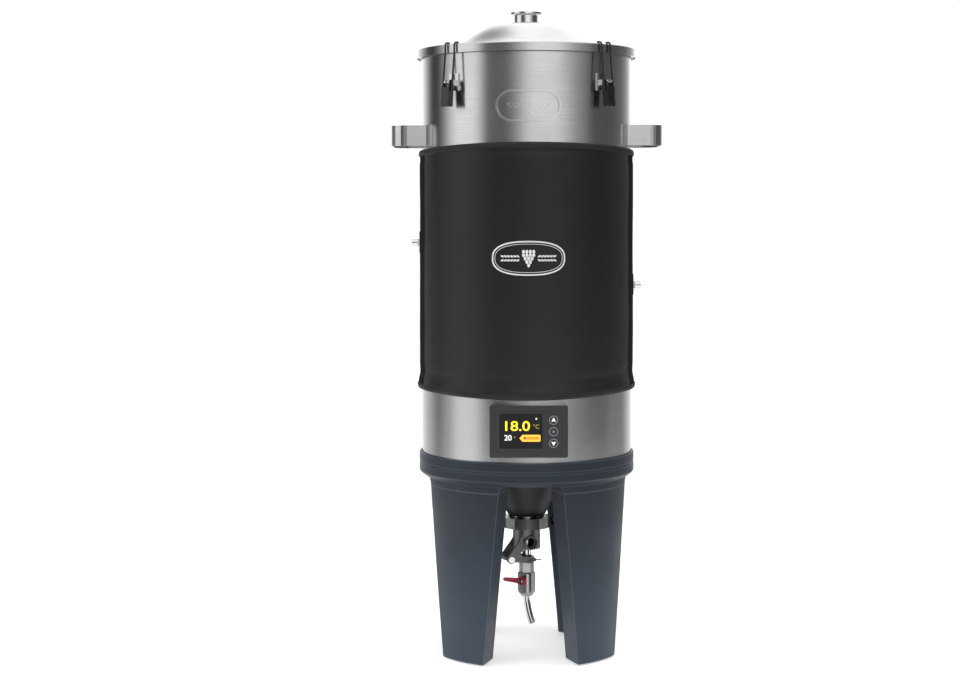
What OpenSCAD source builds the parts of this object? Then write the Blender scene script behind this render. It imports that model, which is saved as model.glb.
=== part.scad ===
// Conical fermenter: an insulated double-walled tank with a clipped lid, a
// neoprene sleeve, a control panel, a four-legged stand and a dual dump and
// sampling valve under the cone. The origin is on the floor under the tank's
// axis, +Z is up and the panel faces -Y.

/* [Tank] */
// Outer radius of the steel shell
shell_r = 168.5; // [160:0.5:169]
// Thickness of the shell and vessel sheet
sheet = 1.2; // [0.8:0.1:1.5]
// Height of the tank's top flange above the floor
tank_top = 956.2; // [940:0.1:960]
// Outer radius of the inner vessel
vessel_r = 140; // [134:1:141]
// Height of the cone's lower end
cone_low_z = 215.5; // [214:0.5:218]
// Half of the cone's included angle
cone_half_angle = 30; // [29:0.5:31]

/* [Lid] */
// Outer radius of the lid's rolled rim
lid_r = 176; // [174:0.5:177]
// Height of the rolled rim's top
rim_top = 964.5; // [964:0.1:966]
// Height of the dome's crown
dome_top = 1006; // [990:1:1010]
// Radius where the crown starts to fall
dome_in = 44; // [30:1:60]
// Radius where the dome meets the flat ring
dome_out = 153; // [130:1:160]
// How far the port stands above the crown
port_rise = 19; // [15:1:30]

/* [Stand] */
// Outer radius of the stand's collar
collar_r = 173; // [172:0.5:176]
// Height of the collar's top edge
collar_top = 322; // [315:1:326]
// Height of the arches between the legs
arch_top = 284; // [270:1:286]
// Half of the angle of the gap between two legs
gap_half_angle = 19.5; // [15:0.5:24]
// How far a gap's side leans outward for each millimetre of height
gap_lean = 0.105; // [0.05:0.005:0.15]
// Turn of the stand under the tank
stand_turn = 1.5; // [-5:0.5:5]
// Wall thickness of the hollow legs
leg_wall = 5; // [4:0.5:8]

/* [Sleeve] */
// Outer radius of the neoprene sleeve
sleeve_r = 172.8; // [172:0.1:174]
// Height of the sleeve's lower edge
sleeve_low = 419; // [415:1:430]
// Height of the sleeve's upper edge, under the handles
sleeve_high = 804; // [780:1:806]

/* [Ports] */
// Height of the left coolant port
port_left_z = 658; // [640:1:680]
// Height of the right coolant port
port_right_z = 589; // [575:1:610]

/* [Panel] */
// Width of the control panel
panel_w = 120; // [110:1:130]
// Height of the control panel
panel_h = 80; // [74:1:86]
// Height of the panel's centre above the floor
panel_z = 371; // [369:1:374]

/* [Lid clips] */
// Angle of each clip from the front or the back
clip_angle = 42; // [35:1:55]
// Half of the distance between a bail's two legs
bail_half = 9.5; // [9.3:0.1:12]
// Radius of the bail's coated wire
wire_r = 1.5; // [1.3:0.1:1.5]

/* [Valve] */
// Turn of the valve's outlet from the front
valve_turn = 15; // [0:5:15]
// Turn of the sampling tap's handle from the front
tap_turn = -30; // [-60:5:0]
// Radius of the valve body
valve_r = 22; // [21:0.5:23]
// Outer radius of the sliding inner tube
tube_r = 7; // [6.5:0.1:7]

/* [Hidden] */
$fn = 96;

// Small overshoot that keeps cuts clean
eps = 0.1;
// Gap between parts that only stand next to each other
gap = 0.3;

// Tank
shell_in = shell_r - sheet;
shell_low = 302;
flange_r = 174;
cone_end_r = 25.4;
cone_high_z = cone_low_z + (vessel_r - cone_end_r) / tan(cone_half_angle);
plate_z = 300;
plate_in = 84;
cover_t = 3;
foam_in = 147;
foam_low = 428;
jacket_low = 560;
jacket_high = 690;
jacket_r = 146;
heater_low = 450;
heater_high = 520;
well_z = 440;
well_r = 4;

// Sanitary clamp fittings: flange radius, edge thickness and taper
ferrule_edge = 2.85;
ferrule_slope = tan(20);
small_flange_r = 25.25;
small_tube_r = 19.05;
small_bore_r = 17.4;
big_flange_r = 32;
big_bore_r = 23.9;
seal_t = 1.6;
clamp_z = 204.5;
clamp_r = 39;
clamp_h = 17;
hinge_x = -43;
knuckle_r = 4.5;
pin_r = 2;
ear_x = 35;
ear_t = 3.8;
fork_len = 18.5;
back_ear_len = 19;
bolt_x = 49;
bolt_y = -6;
bolt_r = 3;
nut_y = 8.3;
half_gap = 0.6;

// Lid
annulus_z = 960;
lid_t = 1;
roll_r = 2;
skirt_low = 951;
port_top = dome_top + port_rise;

// Stand
stand_low = 1.5;
deck_z = 300;
leg_in_low = 107;
leg_in_high = 113;
leg_out_low = 155;
leg_out_high = 163;
neck_z = 283;
step_z = 289;
cavity_top = 262;
gap_ref_z = 233;
arch_round = 12;
legs_top = arch_top - arch_round;
groove_z = 304.5;
groove_h = 2.5;
groove_depth = 1.4;
pad_h = 6;

// Handles
handle_z = 827;
handle_h = 32;
handle_t = 2.5;
handle_reach = 215;
handle_foot_angle = 22;
handle_round = 26;

// Raised emblem on the shell
emblem_z = 868;
emblem_rise = 1.2;
emblem_w = 100;
emblem_h = 48;
emblem_line = 3;
hop_pitch = [6, 5];
hop_scale_r = 2.6;
grain_pitch = 4;
grain_r = 1.8;

// Coolant ports
nipple_r = 6.6;
nipple_len = 9;
nipple_neck_r = 6.3;
nipple_bore = 4.5;
nipple_tip = 184.5;
port_disc_r = 11;
sleeve_hole_r = 16;

// Panel
face_y = -171.5;
face_t = 4;
boss_w = 96;
boss_h = 62;
boss_y = -155;
screen = [-45, 345, 66, 54];
button_x = 38;
button_r = 7;
button_pitch = 17.7;
button_proud = 0.5;
inlet_z = 371;

// Lid clips
clip_pivot = [183, 905];
bail_pivot = [185, 893];
clip_pin_r = 1.5;
bracket_w = 18;
bracket_h = 26;
bracket_low = 893;
pin_play = 0.08;
bail_knee = [179, 950];
hook_top = rim_top + gap + wire_r;
hook_tip = 170.5;
bend_swell = 0.04;

// Valve
valve_low = 161;
neck_top = clamp_z - seal_t / 2;
seat_z = 188;
seat_r = 13;
chamber_r = 17;
stub_r = 11;
stub_bore = 9;
stub_z = 173;
stub_reach = 29;
socket_depth = 10;
pivot_x = -31;
pivot_z = 146;
fork_y = 14.5;
fork_t = 2.4;
stud_z = 143;
stud_r = 2;
lug_y = 18;
lug_t = 4;
ring_top = 150;
collar_low = 138.5;
collar_high = 147;
collar_out = 12.9;
screw_x = 10.2;
screw_r = 1.15;
adapter_low = 122;
tap_low = 83;
tap_z = 109;
tap_half = 12.5;
ball_r = 9;
bore_r = 4.5;
spout_r = 5.4;
spout_bend_r = 95;
spout_bend = 30;
spout_turn = 45;
spout_t = 1.2;

function smooth(u) = u <= 0 ? 0 : u >= 1 ? 1 : u * u * (3 - 2 * u);
// Height of the lid's outer surface at radius r
function lid_z(r) =
    dome_top - (dome_top - annulus_z) * smooth((r - dome_in) / (dome_out - dome_in));
// Radii of a leg's outer and inner faces at height z
function leg_outer(z) =
    leg_out_low + (leg_out_high - leg_out_low) * (z - stand_low) / (neck_z - stand_low);
function leg_inner(z) =
    leg_in_low + (leg_in_high - leg_in_low) * (z - stand_low) / (neck_z - stand_low);
// Radius of the vessel's cone at height z
function cone_r(z) = cone_end_r + (z - cone_low_z) * tan(cone_half_angle);
// Points on an arc in the plane
function arc(c, r, a0, a1, n = 8) =
    [for (i = [0:n]) let (a = a0 + (a1 - a0) * i / n) c + r * [cos(a), sin(a)]];

// Places its children a given angle round the tank, 0 at the front and
// growing towards the right
module around(a) {
    rotate([0, 0, a]) children();
}

// Ring with a rectangular section
module ring(r_in, r_out, z0, z1) {
    rotate_extrude() translate([r_in, z0]) square([r_out - r_in, z1 - z0]);
}

// Round bar between two points, with its far end chamfered
module bar(a, b, r, chamfer = 0) {
    d = b - a;
    len = norm(d);
    translate(a)
        rotate([0, acos(d[2] / len), atan2(d[1], d[0])])
            rotate_extrude()
                polygon([
                    [0, 0], [r, 0], [r, len - chamfer], [r - chamfer, len], [0, len]
                ]);
}

// Everything inside the shell's outer surface
module tank_core() {
    cylinder(r = shell_r, h = 1200, $fn = 720);
}

// Cylinder from a point towards the front
module towards_front(p, r, h) {
    translate(p) rotate([90, 0, 0]) cylinder(r = r, h = h);
}

// Section of a clamp fitting's tapered flange, its face at height 0
module flange_section(bore, tube, rim) {
    rise = (rim - tube) * ferrule_slope;
    polygon([
        [bore, 0], [rim, 0], [rim, ferrule_edge],
        [tube, ferrule_edge + rise], [bore, ferrule_edge + rise]
    ]);
}

// ---------- Stand ----------

// One side of a gap's outline, in the plane across the gap's side wall
module gap_side(grow) {
    lean = atan(gap_lean);
    top = arch_top + grow;
    round_z = top - arch_round;
    wall = gap_lean * (gap_ref_z - round_z) + grow / cos(lean);
    foot = gap_lean * (gap_ref_z + 20) + grow / cos(lean);
    centre = [wall - arch_round / cos(lean), round_z];
    polygon(concat(
        [[-260, -20], [foot, -20]],
        arc(centre, arch_round, lean, 90),
        [[-260, top]]
    ));
}

// The space between two legs, with its sides moved into the legs by grow
module leg_gap(grow) {
    intersection_for (s = [-1, 1])
        rotate([0, 0, s * gap_half_angle])
            rotate([90, 0, 0])
                linear_extrude(260)
                    scale([s, 1]) gap_side(grow);
}

module leg_gaps(grow) {
    for (k = [0:3]) around(90 * k) leg_gap(grow);
}

// Hollow inside the legs, open at the floor
module leg_cavities(shrink) {
    difference() {
        rotate_extrude()
            polygon([
                [leg_in_low + leg_wall + shrink, -eps],
                [leg_out_low - leg_wall - shrink, -eps],
                [leg_out_high - leg_wall - shrink, cavity_top],
                [leg_in_high + leg_wall + shrink, cavity_top]
            ]);
        leg_gaps(leg_wall + shrink);
    }
}

// Ring that carries the tank, with the tops of the four arches
module stand_collar() {
    color([0.24, 0.27, 0.32])
        around(stand_turn)
            difference() {
                rotate_extrude()
                    polygon([
                        [leg_inner(legs_top), legs_top], [leg_outer(legs_top), legs_top],
                        [leg_out_high, neck_z], [collar_r - 2, step_z],
                        [collar_r, step_z + 3], [collar_r, groove_z - 1],
                        [collar_r - groove_depth, groove_z],
                        [collar_r - groove_depth, groove_z + groove_h],
                        [collar_r, groove_z + groove_h + 1], [collar_r, collar_top - 1.5],
                        [collar_r - 1.2, collar_top], [shell_r + 1, collar_top],
                        [shell_r + 1, deck_z], [leg_in_high, deck_z],
                        [leg_in_high, neck_z]
                    ]);
                leg_gaps(0);
            }
}

module stand_legs() {
    color([0.24, 0.27, 0.32])
        around(stand_turn)
            difference() {
                rotate_extrude()
                    polygon([
                        [leg_in_low, stand_low], [leg_out_low, stand_low],
                        [leg_outer(legs_top), legs_top], [leg_inner(legs_top), legs_top]
                    ]);
                leg_gaps(0);
                leg_cavities(0);
            }
}

module foot_pads() {
    color([0.08, 0.08, 0.09])
        around(stand_turn)
            intersection() {
                leg_cavities(0.2);
                cylinder(r = 200, h = pad_h);
            }
}

// ---------- Tank ----------

// Round holes through the side walls for the coolant ports
module port_holes(r) {
    translate([0, 0, port_left_z]) rotate([0, -90, 0]) cylinder(r = r, h = 200);
    translate([0, 0, port_right_z]) rotate([0, 90, 0]) cylinder(r = r, h = 200);
}

module outer_shell() {
    color([0.74, 0.75, 0.77])
        difference() {
            rotate_extrude()
                polygon([
                    [shell_in, shell_low], [shell_r, shell_low],
                    [shell_r, tank_top - 2 * sheet], [flange_r, tank_top - 2 * sheet],
                    [flange_r, tank_top - sheet], [shell_in, tank_top - sheet]
                ]);
            port_holes(nipple_r + 0.2);
            translate([-boss_w / 2 - 1, -200, panel_z - boss_h / 2 - 1])
                cube([boss_w + 2, 100, boss_h + 2]);
            translate([-24, 100, inlet_z - 14]) cube([48, 100, 28]);
        }
}

module bottom_plate() {
    color([0.7, 0.71, 0.73]) ring(plate_in, shell_r, plate_z, shell_low);
}

module inner_vessel() {
    color([0.78, 0.79, 0.8])
        difference() {
            rotate_extrude()
                polygon([
                    [big_bore_r, neck_top + seal_t],
                    [big_flange_r, neck_top + seal_t],
                    [big_flange_r, neck_top + seal_t + ferrule_edge],
                    [cone_end_r, neck_top + seal_t + ferrule_edge
                        + (big_flange_r - cone_end_r) * ferrule_slope],
                    [cone_end_r, cone_low_z],
                    [vessel_r, cone_high_z],
                    [vessel_r, tank_top - sheet],
                    [flange_r, tank_top - sheet],
                    [flange_r, tank_top],
                    [vessel_r - sheet, tank_top],
                    [vessel_r - sheet, cone_high_z + sheet / 2],
                    [big_bore_r, cone_low_z + sheet / 2]
                ]);
            towards_front([0, -100, well_z], well_r, 60);
        }
}

module insulation() {
    color([0.9, 0.88, 0.8])
        difference() {
            ring(foam_in, shell_in - 0.5, foam_low, tank_top - 3 * sheet);
            port_holes(port_disc_r + 1);
            towards_front([0, -100, well_z], well_r + 1, 100);
        }
}

module cooling_jacket() {
    color([0.6, 0.62, 0.64]) ring(vessel_r, jacket_r, jacket_low, jacket_high);
}

module heater_band() {
    color([0.75, 0.3, 0.15]) ring(vessel_r, vessel_r + 2.5, heater_low, heater_high);
}

// Blind tube that carries the temperature sensor into the beer
module thermowell() {
    color([0.78, 0.79, 0.8])
        difference() {
            towards_front([0, -70, well_z], well_r, 84);
            towards_front([0, -72, well_z], well_r - 1, 90);
        }
}

module cone_cover() {
    color([0.07, 0.08, 0.09])
        rotate_extrude() {
            low = cone_low_z + 0.6;
            slope = cover_t / cos(cone_half_angle);
            polygon([
                [cone_r(low) + gap, low], [cone_r(low) + gap + slope, low],
                [cone_r(plate_z) + gap + slope, plate_z],
                [cone_r(plate_z) + gap, plate_z]
            ]);
        }
}

module neoprene_sleeve() {
    color([0.05, 0.05, 0.06])
        difference() {
            rotate_extrude()
                polygon([
                    [shell_r + 0.4, sleeve_low], [sleeve_r + 2.4, sleeve_low],
                    [sleeve_r + 2.4, sleeve_low + 8], [sleeve_r, sleeve_low + 22],
                    [sleeve_r, sleeve_high], [shell_r + 0.4, sleeve_high]
                ]);
            port_holes(sleeve_hole_r);
        }
}

// Plain raised oval with a hop cone between two barley ears
module shell_emblem() {
    color([0.8, 0.81, 0.82])
        intersection() {
            ring(shell_r, shell_r + emblem_rise, emblem_z - 30, emblem_z + 30);
            translate([0, -100, emblem_z])
                rotate([90, 0, 0])
                    linear_extrude(100) emblem_outline();
        }
}

module emblem_outline() {
    difference() {
        oval(emblem_w / 2, emblem_h / 2);
        oval(emblem_w / 2 - emblem_line, emblem_h / 2 - emblem_line);
    }
    // Hop cone: rows of round scales
    for (row = [0:3])
        for (k = [0:3 - row])
            translate([(k - (3 - row) / 2) * hop_pitch[0], 7 - row * hop_pitch[1]])
                circle(r = hop_scale_r, $fn = 24);
    // Barley ears: grains in pairs along a stalk
    for (s = [-1, 1])
        for (k = [0:4])
            translate([s * (15 + k * grain_pitch), (k % 2 == 0 ? 2.2 : -2.2)])
                circle(r = grain_r, $fn = 24);
}

// Flat oval made of two round ends and straight sides
module oval(half_w, half_h) {
    for (s = [-1, 1]) translate([s * (half_w - half_h), 0]) circle(r = half_h);
    square([2 * (half_w - half_h), 2 * half_h], center = true);
}

// Plan of a strap handle on the right side, inset by t
module handle_plan(t) {
    half = shell_r * sin(handle_foot_angle) - t;
    edge = handle_reach - t;
    polygon(concat(
        [[100, -half]],
        arc([edge - handle_round, -half + handle_round], handle_round, -90, 0),
        arc([edge - handle_round, half - handle_round], handle_round, 0, 90),
        [[100, half]]
    ));
}

// Strap handle, welded to the shell by two feet
module handle(side) {
    color([0.78, 0.79, 0.8])
        rotate([0, 0, side > 0 ? 0 : 180])
            translate([0, 0, handle_z - handle_h / 2])
                linear_extrude(handle_h)
                    difference() {
                        union() {
                            difference() {
                                handle_plan(0);
                                handle_plan(handle_t);
                            }
                            handle_feet();
                        }
                        circle(r = shell_r, $fn = 720);
                    }
}

// Bent feet that lie against the shell
module handle_feet() {
    for (s = [-1, 1])
        difference() {
            intersection() {
                circle(r = shell_r + handle_t, $fn = 720);
                rotate([0, 0, s * (handle_foot_angle + 2.5)])
                    translate([100, -9]) square([100, 18]);
            }
            circle(r = shell_r, $fn = 720);
        }
}

module handle_left() {
    handle(-1);
}

module handle_right() {
    handle(1);
}

// Threaded nipple with a disc, along +X
module coolant_port(z) {
    difference() {
        union() {
            translate([jacket_r, 0, z])
                rotate([0, 90, 0]) cylinder(r = nipple_neck_r, h = nipple_tip - jacket_r);
            translate([nipple_tip - nipple_len, 0, z])
                rotate([0, 90, 0]) cylinder(r = nipple_r, h = nipple_len);
        }
        translate([jacket_r - eps, 0, z])
            rotate([0, 90, 0]) cylinder(r = nipple_bore, h = 60);
    }
}

module coolant_port_left() {
    color([0.8, 0.81, 0.82]) rotate([0, 0, 180]) coolant_port(port_left_z);
}

module coolant_port_right() {
    color([0.8, 0.81, 0.82]) coolant_port(port_right_z);
}

// Hexagonal nut on a washer, along +X, seated on the shell
module port_nut(z) {
    difference() {
        union() {
            translate([160, 0, z]) rotate([0, 90, 0]) cylinder(r = 13, h = 10.5);
            translate([170, 0, z])
                rotate([0, 90, 0]) cylinder(r = port_disc_r, h = 5, $fn = 6);
        }
        translate([150, 0, z]) rotate([0, 90, 0]) cylinder(r = nipple_r + 0.1, h = 40);
        tank_core();
    }
}

module port_nuts() {
    color([0.82, 0.83, 0.84]) {
        port_nut(port_right_z);
        rotate([0, 0, 180]) port_nut(port_left_z);
    }
}

// ---------- Control panel ----------

module panel_bezel() {
    color([0.16, 0.17, 0.18])
        difference() {
            union() {
                difference() {
                    translate([0, (face_y - 150) / 2, panel_z])
                        rounded_block(panel_w, -150 - face_y, panel_h, 3);
                    tank_core();
                }
                translate([-boss_w / 2, face_y + 1, panel_z - boss_h / 2])
                    cube([boss_w, boss_y - face_y - 1, boss_h]);
            }
            // Hollow behind the face
            translate([-boss_w / 2 + 2, face_y + face_t, panel_z - boss_h / 2 + 2])
                cube([boss_w - 4, 60, boss_h - 4]);
            // Window
            translate([screen[0], face_y - 1, screen[1]])
                cube([screen[2], 20, screen[3]]);
            for (k = [-1:1])
                towards_front(
                    [button_x, face_y + 20, panel_z + k * button_pitch],
                    button_r + gap, 40
                );
        }
}

// Block with rounded upright and level edges round its face
module rounded_block(w, d, h, r) {
    rotate([90, 0, 0])
        linear_extrude(d, center = true) {
            square([w - 2 * r, h], center = true);
            square([w, h - 2 * r], center = true);
            for (x = [-1, 1])
                for (y = [-1, 1])
                    translate([x * (w / 2 - r), y * (h / 2 - r)]) circle(r = r);
        }
}

module display_screen() {
    color([0.03, 0.03, 0.03])
        translate([screen[0] + 0.1, face_y + 0.3, screen[1] + 0.1])
            cube([screen[2] - 0.2, 2.4, screen[3] - 0.2]);
}

module button(k) {
    color([0.13, 0.14, 0.15]) {
        towards_front(
            [button_x, face_y + face_t + 1.4, panel_z + k * button_pitch],
            button_r, face_t + 1.4 + button_proud
        );
        // Flange that keeps the button behind the face
        towards_front(
            [button_x, face_y + face_t + 1.4, panel_z + k * button_pitch],
            button_r + 1, 1.2
        );
    }
}

module button_up() {
    button(1);
}

module button_set() {
    button(0);
}

module button_down() {
    button(-1);
}

module circuit_board() {
    color([0.1, 0.35, 0.2])
        translate([-boss_w / 2 + 3, -163, panel_z - boss_h / 2 + 3])
            cube([boss_w - 6, 1.6, boss_h - 6]);
}

// Open-fronted box behind the panel
module control_box() {
    color([0.2, 0.2, 0.21])
        difference() {
            translate([-50, boss_y + gap, panel_z - 36]) cube([100, 14, 70]);
            translate([-48, boss_y, panel_z - 34]) cube([96, 12, 66]);
        }
}

// Three-pin appliance inlet at the back
module power_inlet() {
    color([0.07, 0.07, 0.08])
        difference() {
            union() {
                difference() {
                    translate([0, 164, inlet_z]) rounded_block(60, 16, 34, 3);
                    tank_core();
                }
                translate([-23.5, 150, inlet_z - 13.5]) cube([47, 22, 27]);
            }
            translate([-13, 156, inlet_z - 9]) cube([26, 30, 18]);
        }
    color([0.8, 0.8, 0.78])
        for (x = [-7, 0, 7])
            translate([x - 1, 150, inlet_z - 2 + (x == 0 ? 3 : 0)]) cube([2, 18, 4]);
}

// ---------- Lid ----------

module lid_dome() {
    color([0.76, 0.77, 0.79])
        rotate_extrude() {
            steps = 28;
            start = small_tube_r;
            radii = [for (i = [0:steps]) start + (dome_out - start) * i / steps];
            polygon(concat(
                [for (r = radii) [r, lid_z(r)]],
                [[lid_r - 6.5, annulus_z]],
                arc([lid_r - 4.5, rim_top - roll_r], roll_r, 180, 90, 5),
                arc([lid_r - roll_r, rim_top - roll_r], roll_r, 90, 0, 5),
                [[lid_r, skirt_low], [lid_r - lid_t, skirt_low]],
                [[lid_r - lid_t, annulus_z - lid_t]],
                [for (i = [steps:-1:0]) [radii[i], lid_z(radii[i]) - lid_t]]
            ));
        }
}

module lid_ferrule() {
    color([0.8, 0.81, 0.82])
        rotate_extrude() {
            taper = (small_flange_r - small_tube_r) * ferrule_slope;
            polygon([
                [small_bore_r, dome_top - 5], [small_tube_r, dome_top - 5],
                [small_tube_r, port_top - ferrule_edge - taper],
                [small_flange_r, port_top - ferrule_edge],
                [small_flange_r, port_top], [small_bore_r, port_top]
            ]);
        }
}

module lid_gasket() {
    color([0.85, 0.85, 0.83])
        ring(160, 173.5, tank_top, annulus_z - lid_t);
}

// ---------- Lid clips ----------

module each_clip() {
    for (a = [-clip_angle, clip_angle, 180 - clip_angle, 180 + clip_angle])
        around(a) children();
}

// A point of a clip from its distance to the tank's axis, its height and
// its place across the clip
function clip_point(p, x = 0) = [x, -p[0], p[1]];

// Cylinder across a clip, centred on a point
module cross_pin(p, r, half) {
    translate(clip_point(p, -half)) rotate([0, 90, 0]) cylinder(r = r, h = 2 * half);
}

module clip_bracket() {
    difference() {
        union() {
            translate([-bracket_w / 2, -171, bracket_low]) cube([bracket_w, 5, bracket_h]);
            for (x = [-1, 1])
                translate([x * 4.3 - 0.75, 0, 0]) {
                    translate([0, -clip_pivot[0], clip_pivot[1] - 4])
                        cube([1.5, clip_pivot[0] - 169, 8]);
                    translate([0, -clip_pivot[0], clip_pivot[1]])
                        rotate([0, 90, 0]) cylinder(r = 4, h = 1.5);
                }
        }
        tank_core();
        cross_pin(clip_pivot, clip_pin_r, 20);
    }
}

module clip_brackets() {
    color([0.8, 0.81, 0.82]) each_clip() clip_bracket();
}

module clip_pins() {
    color([0.85, 0.85, 0.86]) each_clip() cross_pin(clip_pivot, clip_pin_r, 7.6);
}

// Channel-shaped lever that pulls the bail down when it closes
module clip_lever() {
    color([0.07, 0.07, 0.08])
        difference() {
            union() {
                for (x = [-1, 1])
                    translate([x * 6.5 - 1, 0, 0])
                        rotate([90, 0, 90]) linear_extrude(2) lever_cheek();
                translate([-7.5, -190.5, 868]) cube([15, 3, 29]);
                // Grip at the free end
                translate([-7.5, -192, 868]) cube([15, 8, 9]);
            }
            cross_pin(clip_pivot, clip_pin_r + pin_play, 20);
            cross_pin(bail_pivot, wire_r + pin_play, 20);
        }
}

module lever_cheek() {
    translate([-clip_pivot[0], clip_pivot[1]]) circle(r = 4.2);
    polygon([
        [-clip_pivot[0] - 4.2, clip_pivot[1]], [-190.5, 896], [-190.5, 868],
        [-181, 868], [-178.8, 893], [-clip_pivot[0] + 4.2, clip_pivot[1]]
    ]);
}

// Wire bail: an axle through the lever, two legs and two hooks
module clip_bail() {
    color([0.06, 0.06, 0.07]) {
        cross_pin(bail_pivot, wire_r, bail_half);
        for (x = [-bail_half, bail_half]) {
            path = [
                clip_point(bail_pivot, x),
                clip_point(bail_knee, x),
                clip_point([178.6, hook_top - 3.5], x),
                clip_point([177.4, hook_top - 1], x),
                clip_point([175, hook_top], x),
                clip_point([hook_tip, hook_top], x)
            ];
            for (i = [0:len(path) - 2]) bar(path[i], path[i + 1], wire_r);
            for (p = path) translate(p) sphere(r = wire_r + bend_swell);
        }
    }
}

module clip_lever_fl() {
    around(-clip_angle) clip_lever();
}

module clip_lever_fr() {
    around(clip_angle) clip_lever();
}

module clip_lever_bl() {
    around(180 + clip_angle) clip_lever();
}

module clip_lever_br() {
    around(180 - clip_angle) clip_lever();
}

module clip_bail_fl() {
    around(-clip_angle) clip_bail();
}

module clip_bail_fr() {
    around(clip_angle) clip_bail();
}

module clip_bail_bl() {
    around(180 + clip_angle) clip_bail();
}

module clip_bail_br() {
    around(180 - clip_angle) clip_bail();
}

// ---------- Bottom clamp ----------

module bottom_gasket() {
    color([0.9, 0.9, 0.88])
        ring(big_bore_r + 0.2, big_flange_r - 0.5, neck_top, neck_top + seal_t);
}

// Faceted clamp ring with its tapered groove
module clamp_ring() {
    difference() {
        translate([0, 0, clamp_z - clamp_h / 2])
            rotate([0, 0, 15]) cylinder(r = clamp_r, h = clamp_h, $fn = 12);
        rotate_extrude()
            translate([0, clamp_z])
                polygon([
                    [0, -9], [29.2, -9], [29.2, -4.9], [32.3, -3.8],
                    [32.3, 3.8], [29.2, 4.9], [29.2, 9], [0, 9]
                ]);
    }
}

// Keeps the front half of its children, side = -1, or the back half
module half_of(side) {
    intersection() {
        children();
        translate([-60, side > 0 ? half_gap : -60 - half_gap, clamp_z - 30]) cube([120, 60, 60]);
    }
}

module clamp_half_front() {
    color([0.72, 0.72, 0.71])
        around(valve_turn)
            difference() {
                union() {
                    half_of(-1) clamp_ring();
                    // Hinge knuckle
                    translate([hinge_x, 0, clamp_z - 2.8]) cylinder(r = knuckle_r, h = 5.6);
                    translate([hinge_x + 0.5, -3.9, clamp_z - 2.8]) cube([7.5, 3.3, 5.6]);
                    // Fork for the swing bolt
                    for (z = [-8, 4.2])
                        translate([ear_x, -11.5, clamp_z + z]) cube([fork_len, 10.9, ear_t]);
                }
                translate([hinge_x, 0, clamp_z - 20]) cylinder(r = pin_r, h = 40);
                translate([bolt_x, bolt_y, clamp_z - 20]) cylinder(r = pin_r, h = 40);
            }
}

module clamp_half_back() {
    color([0.72, 0.72, 0.71])
        around(valve_turn)
            difference() {
                union() {
                    half_of(1) clamp_ring();
                    for (z = [-8.5, 3.2])
                        translate([0, 0, clamp_z + z]) {
                            translate([hinge_x, 0, 0]) cylinder(r = knuckle_r, h = 5.3);
                            translate([hinge_x + 0.5, half_gap, 0]) cube([7.5, 3.3, 5.3]);
                        }
                    // Slotted ear that the wing nut pulls on
                    for (z = [-8, 4.2])
                        translate([ear_x, half_gap, clamp_z + z]) cube([back_ear_len, 7.4, ear_t]);
                }
                translate([hinge_x, 0, clamp_z - 20]) cylinder(r = pin_r, h = 40);
            }
}

module clamp_hinge_pin() {
    color([0.6, 0.6, 0.6])
        around(valve_turn)
            translate([hinge_x, 0, clamp_z - 9.5]) {
                cylinder(r = pin_r, h = 19);
                translate([0, 0, 18]) cylinder(r = 3, h = 1);
            }
}

module swing_bolt() {
    color([0.7, 0.7, 0.7])
        around(valve_turn)
            translate([bolt_x, bolt_y, clamp_z]) {
                difference() {
                    translate([0, 0, -3.9]) cylinder(r = 4.6, h = 7.8);
                    translate([0, 0, -20]) cylinder(r = pin_r, h = 40);
                }
                translate([0, 0, -9.5]) cylinder(r = pin_r, h = 19);
                translate([0, 3.5, 0]) rotate([-90, 0, 0]) cylinder(r = bolt_r, h = 25.5);
            }
}

module wing_nut() {
    color([0.72, 0.72, 0.71])
        around(valve_turn)
            translate([bolt_x, nut_y, clamp_z])
                difference() {
                    union() {
                        rotate([-90, 0, 0]) cylinder(r1 = 6.5, r2 = 5, h = 9);
                        for (s = [-1, 1])
                            rotate([0, s > 0 ? 20 : 200, 0])
                                translate([4, 2, -1.5]) wing();
                    }
                    translate([0, -1, 0])
                        rotate([-90, 0, 0]) cylinder(r = bolt_r + 0.05, h = 30);
                }
}

// One wing of the nut, in the plane of the bolt
module wing() {
    linear_extrude(3)
        polygon([[0, 0], [0, 6], [5, 15], [11, 14], [11, 10], [5, 0]]);
}

// ---------- Dump valve ----------

module valve_body() {
    color([0.55, 0.55, 0.55])
        around(valve_turn)
            difference() {
                union() {
                    translate([0, 0, valve_low])
                        cylinder(r = valve_r, h = neck_top - valve_low - 5);
                    rotate_extrude()
                        translate([0, neck_top])
                            mirror([0, 1]) flange_section(0, cone_end_r, big_flange_r);
                    towards_front([0, 0, stub_z], stub_r, stub_reach);
                    for (s = [-1, 1]) valve_lug(s);
                }
                translate([0, 0, seat_z]) cylinder(r = 20, h = 40);
                translate([0, 0, valve_low + 4]) cylinder(r = chamber_r, h = 19);
                translate([0, 0, valve_low + 10]) cylinder(r = seat_r, h = 40);
                translate([0, 0, valve_low - 1]) cylinder(r = tube_r + 0.08, h = 20);
                towards_front([0, -5, stub_z], stub_bore - 1, 40);
                towards_front([0, -stub_reach + socket_depth, stub_z], stub_bore, 40);
                translate([pivot_x, 40, pivot_z])
                    rotate([90, 0, 0]) cylinder(r = 3, h = 80);
            }
}

// Lug that carries the lever's pivot
module valve_lug(s) {
    translate([0, s * lug_y + lug_t / 2, 0])
        rotate([90, 0, 0])
            linear_extrude(lug_t) {
                translate([pivot_x, pivot_z]) circle(r = 7);
                polygon([
                    [-12, 186], [-20, 172], [pivot_x - 6.4, pivot_z + 2.8],
                    [pivot_x + 3.5, pivot_z - 6.1], [-11, 161.5], [-6, 163], [-6, 186]
                ]);
            }
}

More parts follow.
